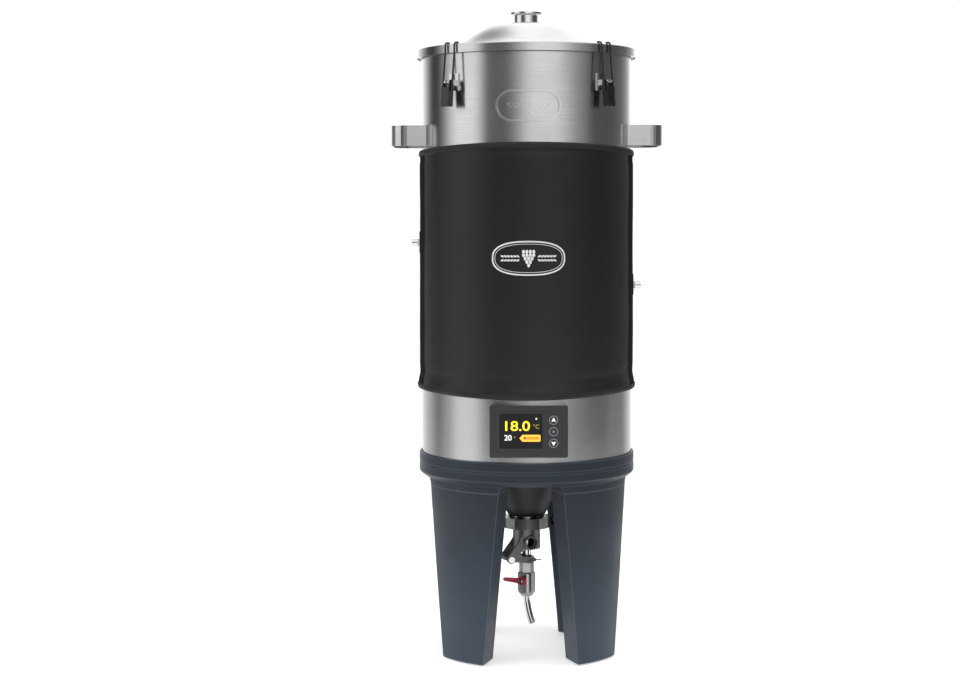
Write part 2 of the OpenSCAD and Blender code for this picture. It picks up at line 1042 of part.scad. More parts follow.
// Forked lever: two arms reach the collar's studs, one bar reaches the hand
module valve_lever() {
    color([0.62, 0.62, 0.61])
        around(valve_turn)
            difference() {
                union() {
                    translate([pivot_x, fork_y + fork_t / 2, pivot_z])
                        rotate([90, 0, 0]) cylinder(r = 5.6, h = 2 * fork_y + fork_t);
                    for (s = [-1, 1])
                        translate([0, s * fork_y + fork_t / 2, 0])
                            rotate([90, 0, 0]) linear_extrude(fork_t) fork_arm();
                    bar(
                        [pivot_x - 2, 0, pivot_z + 0.6],
                        [pivot_x - 64, 0, pivot_z + 19], 3.4, 1
                    );
                }
                translate([pivot_x, 40, pivot_z])
                    rotate([90, 0, 0]) cylinder(r = 3.05, h = 80);
                fork_slot();
            }
}

module fork_arm() {
    polygon([
        [pivot_x, pivot_z + 4.6], [4, stud_z + 5.5], [6, stud_z + 3.5],
        [6, stud_z - 3.5], [4, stud_z - 5.5], [pivot_x, pivot_z - 4.6]
    ]);
}

// Slot that lets the studs follow a straight line
module fork_slot() {
    slot_r = stud_r + 0.4;
    translate([0, 40, 0])
        rotate([90, 0, 0])
            linear_extrude(80) {
                for (x = [-2.2, 2.2]) translate([x, stud_z]) circle(r = slot_r);
                translate([-2.2, stud_z - slot_r]) square([4.4, 2 * slot_r]);
            }
}

module lever_pin() {
    color([0.8, 0.8, 0.8])
        around(valve_turn)
            translate([pivot_x, 0, pivot_z])
                rotate([90, 0, 0]) {
                    translate([0, 0, -21]) cylinder(r = 3, h = 42);
                    for (z = [-22.5, 20.2]) translate([0, 0, z]) cylinder(r = 5, h = 2.3);
                }
}

module plunger_tube() {
    color([0.85, 0.86, 0.87])
        difference() {
            translate([0, 0, adapter_low + 4]) cylinder(r = tube_r, h = 71);
            translate([0, 0, adapter_low]) cylinder(r = bore_r, h = 90);
        }
}

module plunger_seal() {
    color([0.85, 0.84, 0.8])
        ring(tube_r, 16, seat_z + 0.05, seat_z + 5);
}

module stem_ring() {
    color([0.05, 0.05, 0.05])
        ring(tube_r, 8.2, collar_high, ring_top);
}

module collar_clamp() {
    color([0.6, 0.6, 0.6])
        around(valve_turn)
            difference() {
                union() {
                    ring(tube_r, collar_out, collar_low, collar_high);
                    translate([0, fork_y + fork_t / 2, stud_z])
                        rotate([90, 0, 0])
                            cylinder(r = stud_r, h = 2 * fork_y + fork_t);
                }
                translate([0, 0, 100]) cylinder(r = tube_r, h = 60);
                translate([5, -1, 100]) cube([20, 2, 60]);
                translate([screw_x, 20, stud_z])
                    rotate([90, 0, 0]) cylinder(r = screw_r + 0.05, h = 40);
            }
}

// Thumb screw that tightens the collar
module collar_screw() {
    color([0.7, 0.7, 0.7])
        around(valve_turn) {
            translate([screw_x, 9, stud_z]) rotate([90, 0, 0]) cylinder(r = screw_r, h = 20);
            translate([screw_x, -10.8, stud_z]) rotate([90, 0, 0]) cylinder(r = 2.6, h = 3);
            translate([screw_x - 2, -15, stud_z - 0.8]) cube([12, 2.2, 1.6]);
        }
}

// ---------- Sampling tap ----------

module tap_adapter() {
    color([0.8, 0.81, 0.82])
        difference() {
            translate([0, 0, adapter_low])
                cylinder(r = 12, h = collar_low - adapter_low, $fn = 6);
            translate([0, 0, adapter_low + 4]) cylinder(r = tube_r, h = 40);
            translate([0, 0, adapter_low - 1]) cylinder(r = bore_r, h = 40);
        }
}

// Turns its children so that the tap's stem points along +X
module tap_frame() {
    translate([0, 0, tap_z]) around(tap_turn - 90) children();
}

module tap_body() {
    color([0.66, 0.66, 0.65])
        difference() {
            intersection() {
                around(tap_turn)
                    translate([-tap_half, -tap_half, tap_low])
                        cube([2 * tap_half, 2 * tap_half, adapter_low - tap_low]);
                rotate_extrude()
                    polygon([
                        [0, tap_low], [9, tap_low], [14.2, tap_low + 7],
                        [14.2, adapter_low - 2], [12.6, adapter_low], [0, adapter_low]
                    ]);
            }
            cylinder(r = bore_r, h = 200);
            translate([0, 0, tap_low - 1]) cylinder(r = spout_r + 0.15, h = 6);
            translate([0, 0, tap_z]) sphere(r = ball_r + gap);
            tap_frame() rotate([0, 90, 0]) cylinder(r = 3.05, h = 40);
        }
}

module tap_ball() {
    color([0.85, 0.86, 0.87])
        difference() {
            translate([0, 0, tap_z]) sphere(r = ball_r);
            // The bore lies across the flow while the tap is shut
            tap_frame() rotate([90, 0, 0]) cylinder(r = bore_r, h = 40, center = true);
            tap_frame() translate([7.4, -1, -10]) cube([4, 2, 20]);
        }
}

module tap_stem() {
    color([0.75, 0.75, 0.75])
        tap_frame() {
            translate([9.3, 0, 0]) rotate([0, 90, 0]) cylinder(r = 3, h = 12.7);
            translate([7.5, -0.95, -2.4]) cube([2, 1.9, 4.8]);
        }
}

module tap_handle() {
    color([0.72, 0.06, 0.12])
        tap_frame()
            difference() {
                translate([13.4, 0, 0])
                    rotate([90, 0, 90])
                        linear_extrude(4.4) {
                            circle(r = 7);
                            polygon([[0, 6.6], [-10, 4], [-31, 3], [-31, -3], [-10, -4], [0, -6.6]]);
                            translate([-31, 0]) circle(r = 3);
                        }
                translate([10, 0, 0]) rotate([0, 90, 0]) cylinder(r = 3, h = 20);
            }
}

module tap_nut() {
    color([0.8, 0.8, 0.8])
        tap_frame()
            translate([17.8, 0, 0])
                difference() {
                    rotate([0, 90, 0]) cylinder(r = 4.6, h = 3, $fn = 6);
                    translate([-1, 0, 0]) rotate([0, 90, 0]) cylinder(r = 3, h = 10);
                }
}

// Spout: one tube that curves forwards as it drops
module tap_spout() {
    color([0.75, 0.76, 0.77])
        around(spout_turn - 90)
            translate([spout_bend_r, 0, tap_low + 4])
                rotate([90, 0, 0])
                    rotate([0, 0, 180])
                        rotate_extrude(angle = spout_bend)
                            translate([spout_bend_r, 0])
                                difference() {
                                    circle(r = spout_r);
                                    circle(r = spout_r - spout_t);
                                }
}

stand_collar();
stand_legs();
foot_pads();
outer_shell();
bottom_plate();
inner_vessel();
insulation();
cooling_jacket();
heater_band();
thermowell();
cone_cover();
neoprene_sleeve();
shell_emblem();
handle_left();
handle_right();
coolant_port_left();
coolant_port_right();
port_nuts();
panel_bezel();
display_screen();
button_up();
button_set();
button_down();
circuit_board();
control_box();
power_inlet();
lid_dome();
lid_ferrule();
lid_gasket();
clip_brackets();
clip_pins();
clip_lever_fl();
clip_lever_fr();
clip_lever_bl();
clip_lever_br();
clip_bail_fl();
clip_bail_fr();
clip_bail_bl();
clip_bail_br();
bottom_gasket();
clamp_half_front();
clamp_half_back();
clamp_hinge_pin();
swing_bolt();
wing_nut();
valve_body();
valve_lever();
lever_pin();
plunger_tube();
plunger_seal();
stem_ring();
collar_clamp();
collar_screw();
tap_adapter();
tap_body();
tap_ball();
tap_stem();
tap_handle();
tap_nut();
tap_spout();
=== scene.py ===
"""Conical fermenter: materials, fabric sleeve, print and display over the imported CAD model."""

import math

import bmesh
import bpy
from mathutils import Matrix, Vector, noise


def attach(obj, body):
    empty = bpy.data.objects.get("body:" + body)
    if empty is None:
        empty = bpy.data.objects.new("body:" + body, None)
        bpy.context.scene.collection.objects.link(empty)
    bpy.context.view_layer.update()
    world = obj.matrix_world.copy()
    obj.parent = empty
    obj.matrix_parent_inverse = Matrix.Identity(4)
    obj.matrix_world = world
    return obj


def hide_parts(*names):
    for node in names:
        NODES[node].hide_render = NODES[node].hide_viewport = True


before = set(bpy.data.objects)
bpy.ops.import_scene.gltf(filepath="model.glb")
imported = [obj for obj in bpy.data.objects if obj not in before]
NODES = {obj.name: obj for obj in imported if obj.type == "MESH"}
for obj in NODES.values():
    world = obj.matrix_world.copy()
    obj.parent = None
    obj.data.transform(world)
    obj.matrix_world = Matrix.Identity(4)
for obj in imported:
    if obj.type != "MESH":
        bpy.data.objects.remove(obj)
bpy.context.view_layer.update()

SHELL_R = 0.1685
SLEEVE_R = 0.1722
LEFT_PORT_Z = 0.658
RIGHT_PORT_Z = 0.589


# ---------- Node helpers ----------


class Shader:
    """One procedural material and the nodes it is made of."""

    def __init__(self, name, **sockets):
        self.mat = bpy.data.materials.new(name)
        self.mat.use_nodes = True
        self.tree = self.mat.node_tree
        self.bsdf = self.tree.nodes["Principled BSDF"]
        for key, value in sockets.items():
            self.bsdf.inputs[key.replace("_", " ")].default_value = value

    def node(self, kind, links=(), **props):
        n = self.tree.nodes.new(kind)
        for key, value in props.items():
            setattr(n, key, value)
        for socket, value in links:
            if isinstance(value, bpy.types.NodeSocket):
                self.tree.links.new(value, n.inputs[socket])
            else:
                n.inputs[socket].default_value = value
        return n

    def coords(self, scale=(1, 1, 1)):
        """Object coordinates, stretched."""
        tex = self.node("ShaderNodeTexCoord")
        return self.node(
            "ShaderNodeMapping", [("Vector", tex.outputs["Object"]), ("Scale", scale)]
        ).outputs[0]

    def noise(self, vector, scale, detail=3.0, rough=0.5):
        return self.node(
            "ShaderNodeTexNoise",
            [("Vector", vector), ("Scale", scale), ("Detail", detail), ("Roughness", rough)],
        ).outputs["Fac"]

    def spread(self, fac, low, high, start=0.3, end=0.7):
        """fac from start to end becomes low to high."""
        return self.node(
            "ShaderNodeMapRange",
            [(0, fac), (1, start), (2, end), (3, low), (4, high)],
        ).outputs[0]

    def colours(self, fac, *stops):
        ramp = self.node("ShaderNodeValToRGB", [("Fac", fac)])
        band = ramp.color_ramp
        while len(band.elements) < len(stops):
            band.elements.new(0.5)
        for element, (place, colour) in zip(band.elements, stops):
            element.position = place
            element.color = (*colour, 1)
        return ramp.outputs["Color"]

    def edges(self, width):
        """1 along sharp edges and 0 on open faces."""
        soft = self.node("ShaderNodeBevel", [("Radius", width)], samples=4).outputs[0]
        sharp = self.node("ShaderNodeNewGeometry").outputs["Normal"]
        turn = self.node(
            "ShaderNodeVectorMath", [(0, soft), (1, sharp)], operation="DOT_PRODUCT"
        ).outputs["Value"]
        return self.spread(turn, 1.0, 0.0, 0.8, 0.985)

    def wear_and_edge_highlight(self, colour, edge_highlight_colour, width):
        """Painted edge highlight: turns a colour into a lighter one along the edges."""
        mix = self.node("ShaderNodeMix", [("Factor", self.edges(width))], data_type="RGBA")
        self.tree.links.new(colour, mix.inputs["A"])
        mix.inputs["B"].default_value = (*edge_highlight_colour, 1)
        return mix.outputs["Result"]

    def feed(self, socket, value):
        self.tree.links.new(value, self.bsdf.inputs[socket])

    def bump(self, height, strength, distance, under=None):
        links = [("Height", height), ("Strength", strength), ("Distance", distance)]
        if under is not None:
            links.append(("Normal", under))
        out = self.node("ShaderNodeBump", links).outputs["Normal"]
        self.feed("Normal", out)
        return out


def grey(v, tint=0.0):
    """A grey, bluer by tint."""
    return (v, v * (1 + tint / 2), v * (1 + tint))


def metal(
    name, dark, light, rough, grain=(1, 1, 1), grain_scale=60, grain_bump=0.02,
    spots=0.0, brushed=0.0,
):
    """Steel with brushed or cast grain, uneven gloss and faint handling marks."""
    s = Shader(name, Metallic=1.0)
    if brushed:
        # Grooves run round the tank, so a highlight spreads up and down
        s.bsdf.inputs["Anisotropic"].default_value = brushed
        s.bsdf.inputs["Anisotropic Rotation"].default_value = 0.25
        s.feed("Tangent", s.node("ShaderNodeTangent", direction_type="RADIAL", axis="Z").outputs[0])
    fine = s.noise(s.coords(grain), grain_scale, 5, 0.65)
    broad = s.noise(s.coords(), 9, 3)
    mixed = s.node(
        "ShaderNodeMath", [(0, fine), (1, broad)], operation="MULTIPLY"
    ).outputs[0]
    base = s.colours(mixed, (0.1, dark), (0.45, light))
    # A lighter colour along the edges: painted edge highlight.
    s.feed("Base Color", s.wear_and_edge_highlight(base, tuple(min(1.0, 1.25 * part) for part in light), 0.0006))
    s.feed("Roughness", s.spread(mixed, rough * 1.25 + spots, rough * 0.8, 0.1, 0.45))
    s.bump(fine, grain_bump, 0.0004)
    return s.mat


def plastic(name, dark, light, rough, scale=500, strength=0.15):
    """Moulded plastic or rubber with a fine texture and rubbed patches."""
    s = Shader(name)
    grain = s.noise(s.coords(), scale, 3)
    wear_and_edge_highlight = s.noise(s.coords(), 14, 4)
    # A lighter colour along the edges: painted edge highlight.
    edge_highlight_colour = tuple(min(1.0, 1.6 * part + 0.01) for part in light)
    s.feed("Base Color", s.wear_and_edge_highlight(s.colours(wear_and_edge_highlight, (0.3, dark), (0.75, light)), edge_highlight_colour, 0.0006))
    s.feed("Roughness", s.spread(wear_and_edge_highlight, rough * 1.15, rough * 0.85))
    s.bump(grain, strength, 0.0003)
    return s.mat


def glow(name, colour, strength):
    """Lit segment of the display."""
    s = Shader(name, Roughness=0.4)
    fine = s.noise(s.coords(), 900, 1)
    s.feed("Base Color", s.colours(fine, (0.2, colour), (0.8, tuple(c * 0.9 for c in colour))))
    s.bsdf.inputs["Emission Color"].default_value = (*colour, 1)
    s.bsdf.inputs["Emission Strength"].default_value = strength
    return s.mat


def stand_material():
    """Slate plastic, lighter towards the feet by painted light from the floor."""
    s = Shader("stand_slate", Specular_IOR_Level=0.28)
    vector = s.coords()
    grain = s.noise(vector, 700, 3)
    wear_and_edge_highlight = s.noise(vector, 11, 4)
    height = s.node("ShaderNodeSeparateXYZ", [("Vector", vector)]).outputs["Z"]
    # Painted floor light: towards the feet the colour is mixed into a lighter blue-grey, standing in
    # for light bounced up from the floor.
    low = s.spread(height, 1.0, 0.0, 0.0, 0.24)
    base = s.colours(wear_and_edge_highlight, (0.3, (0.015, 0.021, 0.031)), (0.75, (0.020, 0.027, 0.039)))
    mix = s.node("ShaderNodeMix", [("Factor", low)], data_type="RGBA")
    s.tree.links.new(base, mix.inputs["A"])
    mix.inputs["B"].default_value = (0.034, 0.050, 0.072, 1)
    # A lighter blue-grey along the edges: painted edge highlight.
    s.feed("Base Color", s.wear_and_edge_highlight(mix.outputs["Result"], (0.075, 0.095, 0.125), 0.003))
    s.feed("Roughness", s.spread(wear_and_edge_highlight, 0.5, 0.36))
    s.bump(grain, 0.12, 0.0003)
    return s.mat


def neoprene_material():
    """Knit-faced foam rubber: fine ribs, a soft sheen and slight mottling."""
    s = Shader("neoprene_knit")
    s.bsdf.inputs["Sheen Weight"].default_value = 0.02
    # The knit's fuzz takes the gloss away where it is seen edge on
    facing = s.node("ShaderNodeLayerWeight", [("Blend", 0.5)]).outputs["Facing"]
    s.feed("Specular IOR Level", s.spread(facing, 0.34, 0.0, 0.4, 0.72))
    vector = s.coords()
    knit = s.node(
        "ShaderNodeTexWave",
        [("Vector", vector), ("Scale", 420), ("Distortion", 1.2), ("Detail", 2)],
        bands_direction="Z",
    ).outputs["Fac"]
    fuzz = s.noise(vector, 1600, 2)
    broad = s.noise(vector, 7, 4)
    dark, light = (0.0085, 0.0092, 0.0108), (0.0115, 0.0125, 0.0145)
    s.feed("Base Color", s.colours(broad, (0.3, dark), (0.7, light)))
    s.feed("Roughness", s.spread(broad, 0.42, 0.34))
    under = s.bump(knit, 0.18, 0.0003)
    s.bump(fuzz, 0.2, 0.0003, under)
    return s.mat


STEEL_GRAIN = (1, 1, 60)
MATERIALS = {
    "brushed": metal(
        "steel_brushed", grey(0.56), grey(0.66, 0.01), 0.22, STEEL_GRAIN, 24, 0.004, brushed=0.6
    ),
    "emblem": metal("steel_raised", grey(0.66), grey(0.74), 0.30, (1, 1, 1), 300, 0.02),
    "polished": metal("steel_polished", grey(0.62), grey(0.75), 0.14, (1, 1, 1), 40, 0.01),
    "cast": metal("steel_cast", grey(0.16), grey(0.26), 0.38, (1, 1, 1), 700, 0.25, 0.05),
    "satin": metal("steel_satin", grey(0.34), grey(0.46), 0.27, (1, 1, 1), 300, 0.08),
    "dark_steel": metal("steel_shadowed", grey(0.15), grey(0.24), 0.3, (1, 1, 1), 200, 0.05),
    "stand": stand_material(),
    "neoprene": neoprene_material(),
    "binding": plastic("binding_tape", (0.006, 0.006, 0.007), (0.012, 0.012, 0.013), 0.7, 900, 0.4),
    "cone": plastic("cone_cover_black", (0.010, 0.012, 0.014), (0.016, 0.018, 0.021), 0.5),
    "rubber": plastic("rubber_black", (0.008, 0.008, 0.008), (0.015, 0.015, 0.015), 0.6),
    "panel": plastic("panel_plastic", (0.022, 0.023, 0.024), (0.029, 0.030, 0.031), 0.4, 900, 0.1),
    "screen": plastic("screen_glass", (0.019, 0.019, 0.019), (0.024, 0.024, 0.024), 0.12, 300, 0.0),
    "button": plastic(
        "button_plastic", (0.026, 0.027, 0.029), (0.033, 0.034, 0.036), 0.35, 900, 0.1
    ),
    "clip": plastic("clip_plastic", (0.010, 0.010, 0.011), (0.020, 0.020, 0.021), 0.3, 600, 0.1),
    "wire": plastic("wire_coat", (0.008, 0.008, 0.009), (0.016, 0.016, 0.017), 0.3, 300, 0.1),
    "foam": plastic("foam_cell", (0.55, 0.52, 0.42), (0.7, 0.67, 0.56), 0.8, 400, 0.5),
    "heater": plastic("heater_mat", (0.35, 0.08, 0.03), (0.45, 0.12, 0.05), 0.6),
    "board": plastic("board_green", (0.01, 0.12, 0.04), (0.02, 0.17, 0.06), 0.4),
    "silicone": plastic("silicone_white", (0.6, 0.6, 0.56), (0.7, 0.7, 0.66), 0.45),
    "red": plastic("grip_red", (0.34, 0.012, 0.036), (0.44, 0.022, 0.055), 0.35, 300, 0.15),
    "print": plastic("print_white", (0.75, 0.75, 0.75), (0.85, 0.85, 0.85), 0.6, 900, 0.1),
    "yellow": glow("digits_yellow", (1.0, 0.62, 0.03), 1.1),
    "orange": glow("bar_orange", (1.0, 0.42, 0.04), 1.0),
    "amber": glow("bar_amber", (0.80, 0.20, 0.01), 1.0),
    "faint": glow("unit_faint", (0.42, 0.30, 0.07), 0.6),
    "white": glow("marks_white", (0.8, 0.8, 0.8), 0.8),
    "dim": glow("marks_dim", (0.3, 0.3, 0.3), 0.15),
}

NODE_LOOKS = {
    "brushed": "outer_shell bottom_plate inner_vessel lid_dome cooling_jacket handle_left"
    " handle_right",
    "emblem": "shell_emblem",
    "polished": "thermowell coolant_port_left coolant_port_right port_nuts lid_ferrule clip_brackets"
    " clip_pins lever_pin plunger_tube tap_ball tap_stem tap_nut tap_spout",
    "satin": "tap_adapter tap_body",
    "cast": "valve_body valve_lever collar_clamp collar_screw",
    "dark_steel": "clamp_half_front clamp_half_back clamp_hinge_pin swing_bolt wing_nut",
    "stand": "stand_collar stand_legs",
    "cone": "cone_cover",
    "rubber": "foot_pads stem_ring power_inlet",
    "panel": "panel_bezel control_box",
    "screen": "display_screen",
    "button": "button_up button_set button_down",
    "clip": "clip_lever_fl clip_lever_fr clip_lever_bl clip_lever_br",
    "wire": "clip_bail_fl clip_bail_fr clip_bail_bl clip_bail_br",
    "foam": "insulation",
    "heater": "heater_band",
    "board": "circuit_board",
    "silicone": "lid_gasket bottom_gasket plunger_seal",
    "red": "tap_handle",
    "neoprene": "neoprene_sleeve",
}


def dress_nodes():
    """Gives every CAD node its material."""
    for look, names in NODE_LOOKS.items():
        for name in names.split():
            for place in NODES[name].material_slots:
                place.material = MATERIALS[look]


# ---------- Mesh helpers ----------


def add_mesh(name, points, faces, look, smooth=True):
    """A mesh object made of points and faces, in one of the materials."""
    mesh = bpy.data.meshes.new(name)
    mesh.from_pydata(points, [], faces)
    mesh.validate()
    obj = bpy.data.objects.new(name, mesh)
    bpy.context.scene.collection.objects.link(obj)
    mesh.materials.append(MATERIALS[look])
    for face in mesh.polygons:
        face.use_smooth = smooth
    return obj


def apply_modifiers(obj):
    """Replaces an object's mesh by what its modifiers make of it."""
    graph = bpy.context.evaluated_depsgraph_get()
    mesh = bpy.data.meshes.new_from_object(obj.evaluated_get(graph))
    obj.modifiers.clear()
    obj.data = mesh


def on_tank(azimuth, radius, z):
    """A point at an angle from the front, growing to the right."""
    return Vector((radius * math.sin(azimuth), -radius * math.cos(azimuth), z))


def swept_ring(name, look, section, steps):
    """A closed ring: section(azimuth) gives the (radius, height) points of its outline."""
    points, faces = [], []
    for i in range(steps):
        azimuth = 2 * math.pi * i / steps
        outline = section(azimuth)
        points += [on_tank(azimuth, r, z) for r, z in outline]
    n = len(outline)
    for i in range(steps):
        a, b = i * n, (i + 1) % steps * n
        for k in range(n):
            faces.append((a + k, a + (k + 1) % n, b + (k + 1) % n, b + k))
    return add_mesh(name, points, faces, look)


def disc(name, look, centre, axis, radius, thickness=0.0004, hole=0.0, sides=48):
    """Thin round plate or ring whose face looks along axis."""
    bm = bmesh.new()
    turn = axis.to_track_quat("Z", "Y")
    rings = []
    for r, z in ((radius, 0), (radius, thickness), (hole, thickness), (hole, 0)):
        ring = []
        for i in range(sides if r else 1):
            a = 2 * math.pi * i / sides
            ring.append(bm.verts.new(centre + turn @ Vector((r * math.cos(a), r * math.sin(a), z))))
        rings.append(ring)
    pairs = [(0, 1), (1, 2), (2, 3), (3, 0)] if hole else [(0, 1)]
    for a, b in pairs:
        for i in range(sides):
            j = (i + 1) % sides
            bm.faces.new((rings[a][i], rings[a][j], rings[b][j], rings[b][i]))
    if not hole:
        bm.faces.new(rings[1])
        bm.faces.new(list(reversed(rings[0])))
    bmesh.ops.recalc_face_normals(bm, faces=bm.faces)
    mesh = bpy.data.meshes.new(name)
    bm.to_mesh(mesh)
    bm.free()
    obj = bpy.data.objects.new(name, mesh)
    bpy.context.scene.collection.objects.link(obj)
    mesh.materials.append(MATERIALS[look])
    return obj


def plate(name, look, outline, place, thickness=0.0003):
    """Flat outline of (u, v) points made into a thin plate. place(u, v, w) puts a point."""
    n = len(outline)
    points = [place(u, v, 0) for u, v in outline] + [place(u, v, thickness) for u, v in outline]
    faces = [tuple(range(n - 1, -1, -1)), tuple(range(n, 2 * n))]
    faces += [(i, (i + 1) % n, n + (i + 1) % n, n + i) for i in range(n)]
    return add_mesh(name, points, faces, look, smooth=False)


def join(name, parts):
    """Joins mesh objects into the first one."""
    with bpy.context.temp_override(
        active_object=parts[0], selected_editable_objects=parts, selected_objects=parts
    ):
        bpy.ops.object.join()
    parts[0].name = name
    return parts[0]


# ---------- Neoprene sleeve ----------

SLEEVE_LOW = 0.4185
SLEEVE_HIGH = 0.8035
# The fabric lies this far inside the surface that its trims follow
FABRIC_INSET = 0.0006
HOLE_R = 0.0155
# Height and thickness of the tape on the edges
BINDING = 0.0085
BINDING_PROUD = 0.0004
PRINT_LIFT = 0.0003
BADGE_Z = 0.636


def sleeve_top(azimuth):
    """The upper edge dips under the handles at the sides."""
    return SLEEVE_HIGH + 0.0095 * abs(math.cos(azimuth)) ** 1.4


def sleeve_hem(azimuth):
    """The lower edge rides up a little at the sides."""
    return SLEEVE_LOW + 0.006 * abs(math.sin(azimuth)) ** 1.5


def sleeve_radius(azimuth, z):
    """Outer surface: flared hem, a dent above it, and slight unevenness of the fabric."""
    top = sleeve_top(azimuth)
    above = z - sleeve_hem(azimuth)
    flare = 0.0024 * math.exp(-(((above - 0.007) / 0.011) ** 2))
    waist = -0.0007 * math.exp(-(((above - 0.027) / 0.008) ** 2))
    neck = -0.0009 * math.exp(-(((z - top + 0.0135) / 0.005) ** 2))
    place = on_tank(azimuth, 0.17, z)
    ripple = 0.0009 * noise.noise(Vector((place.x * 11, place.y * 11, z * 5)))
    fine = 0.00035 * noise.noise(Vector((place.x * 40, place.y * 40, z * 22)))
    return SLEEVE_R + flare + waist + neck + ripple + fine


def make_sleeve():
    """Double-walled fabric tube with a hole for each coolant port."""
    around, up = 360, 130
    points, faces = [], []
    for layer in (0, 1):
        for j in range(up + 1):
            for i in range(around):
                azimuth = 2 * math.pi * i / around
                low = sleeve_hem(azimuth)
                z = low + (sleeve_top(azimuth) - low) * j / up
                if layer == 0:
                    radius = sleeve_radius(azimuth, z) - FABRIC_INSET
                else:
                    radius = SHELL_R + FABRIC_INSET
                points.append(on_tank(azimuth, radius, z))
    count = around * (up + 1)
    for j in range(up):
        for i in range(around):
            a, b = j * around + i, j * around + (i + 1) % around
            faces.append((a, b, b + around, a + around))
            faces.append((count + a, count + a + around, count + b + around, count + b))
    for i in range(around):
        k = (i + 1) % around
        faces.append((i, count + i, count + k, k))
        t, u = up * around + i, up * around + k
        faces.append((t, u, count + u, count + t))
    sleeve = add_mesh("sleeve_fabric", points, faces, "neoprene")
    cutters = []
    for side, z in ((-1, LEFT_PORT_Z), (1, RIGHT_PORT_Z)):
        bpy.ops.mesh.primitive_cylinder_add(
            vertices=64, radius=HOLE_R, depth=0.05, location=(side * 0.172, 0, z),
            rotation=(0, math.pi / 2, 0),
        )
        cutter = bpy.context.object
        cutters.append(cutter)
        mod = sleeve.modifiers.new("hole", "BOOLEAN")
        mod.object = cutter
        mod.operation = "DIFFERENCE"
        mod.solver = "EXACT"
    apply_modifiers(sleeve)
    for cutter in cutters:
        bpy.data.objects.remove(cutter)
    return sleeve


def binding_section(edge, fold):
    """Round-cornered tape folded over an edge. fold is 1 for an upper edge, -1 for a lower one."""

    def section(azimuth):
        """Outline of the tape at one angle."""
        top = edge(azimuth)
        r0 = SHELL_R + 0.0005
        r1 = sleeve_radius(azimuth, top - fold * BINDING / 2) + BINDING_PROUD
        low = top - fold * BINDING
        bulge = 0.0005
        return [
            (r0, low), (r0, top - fold * 0.001), (r0 + 0.001, top),
            (r1 - 0.0016, top), (r1 - 0.0003, top - fold * 0.0012),
            (r1 + bulge, (top + low) / 2), (r1 - 0.0002, low + fold * 0.001), (r1 - 0.0012, low),
        ]

    return section


def stitches(name, edge, offset, fold, count=420):
    """A row of short stitches along a binding."""
    points, faces = [], []
    for i in range(count):
        azimuth = 2 * math.pi * i / count
        half = 0.36 * math.pi / count
        z = edge(azimuth) - fold * offset
        r = sleeve_radius(azimuth, edge(azimuth) - fold * BINDING / 2) + 0.0009
        base = len(points)
        for da, dz, dr in (
            (-half, 0, -0.0004), (0, 0.0003, 0), (half, 0, -0.0004),
            (0, -0.0003, 0), (0, 0, 0.0003),
        ):
            points.append(on_tank(azimuth + da * 2, r + dr, z + dz))
        faces += [(base + a, base + b, base + 4) for a, b in ((0, 3), (3, 2), (2, 1), (1, 0))]
    return add_mesh(name, points, faces, "binding")


def port_binding(name, side, z):
    """Raised tape round a port hole, following the curved fabric."""
    points, faces = [], []
    steps, sides = 72, 10
    for i in range(steps):
        a = 2 * math.pi * i / steps
        for k in range(sides):
            b = 2 * math.pi * k / sides
            reach = 0.0160 + 0.0016 * math.cos(b)
            y, dz = reach * math.cos(a), reach * math.sin(a)
            azimuth = math.asin(y / SLEEVE_R)
            r = sleeve_radius(side * math.pi / 2, z) - FABRIC_INSET + 0.0012 * math.sin(b)
            points.append(Vector((side * r * math.cos(azimuth), y, z + dz)))
    for i in range(steps):
        for k in range(sides):
            a, b = i * sides, (i + 1) % steps * sides
            faces.append((a + k, b + k, b + (k + 1) % sides, a + (k + 1) % sides))
    return add_mesh(name, points, faces, "binding")


def curved_print(name, outline, z0):
    """A printed shape wrapped on the sleeve's front."""

    def place(u, v, w):
        """A point of the flat outline, bent round the fabric."""
        azimuth = u / SLEEVE_R
        r = max(sleeve_radius(azimuth, z0 + v), sleeve_radius(azimuth, z0 + v + 0.002))
        return on_tank(azimuth, r + PRINT_LIFT - FABRIC_INSET + w, z0 + v)

    return plate(name, "print", outline, place, 0.00015)


def ring_quads(outer, inner):
    """Outlines of the pieces that fill the band between two closed outlines."""
    n = len(outer)
    return [
        [outer[i], outer[(i + 1) % n], inner[(i + 1) % n], inner[i]] for i in range(n)
    ]


def oval(half_w, half_h, n=120):
    """Superellipse outline."""
    shape = []
    for i in range(n):
        a = 2 * math.pi * i / n
        c, s = math.cos(a), math.sin(a)
        shape.append((
            half_w * math.copysign(abs(c) ** 0.8, c), half_h * math.copysign(abs(s) ** 0.8, s)
        ))
    return shape


def leaf(u, v, length, width, turn, n=14):
    """Pointed leaf outline centred on (u, v)."""
    shape = []
    for i in range(n):
        t = i / n * 2
        side = 1 if t < 1 else -1
        x = t if t < 1 else 2 - t
        y = side * width / 2 * math.sin(math.pi * x) ** 0.8 if 0 < x < 1 else 0
        x = (x - 0.5) * length
        shape.append((
            u + x * math.cos(turn) - y * math.sin(turn), v + x * math.sin(turn) + y * math.cos(turn)
        ))
    return shape


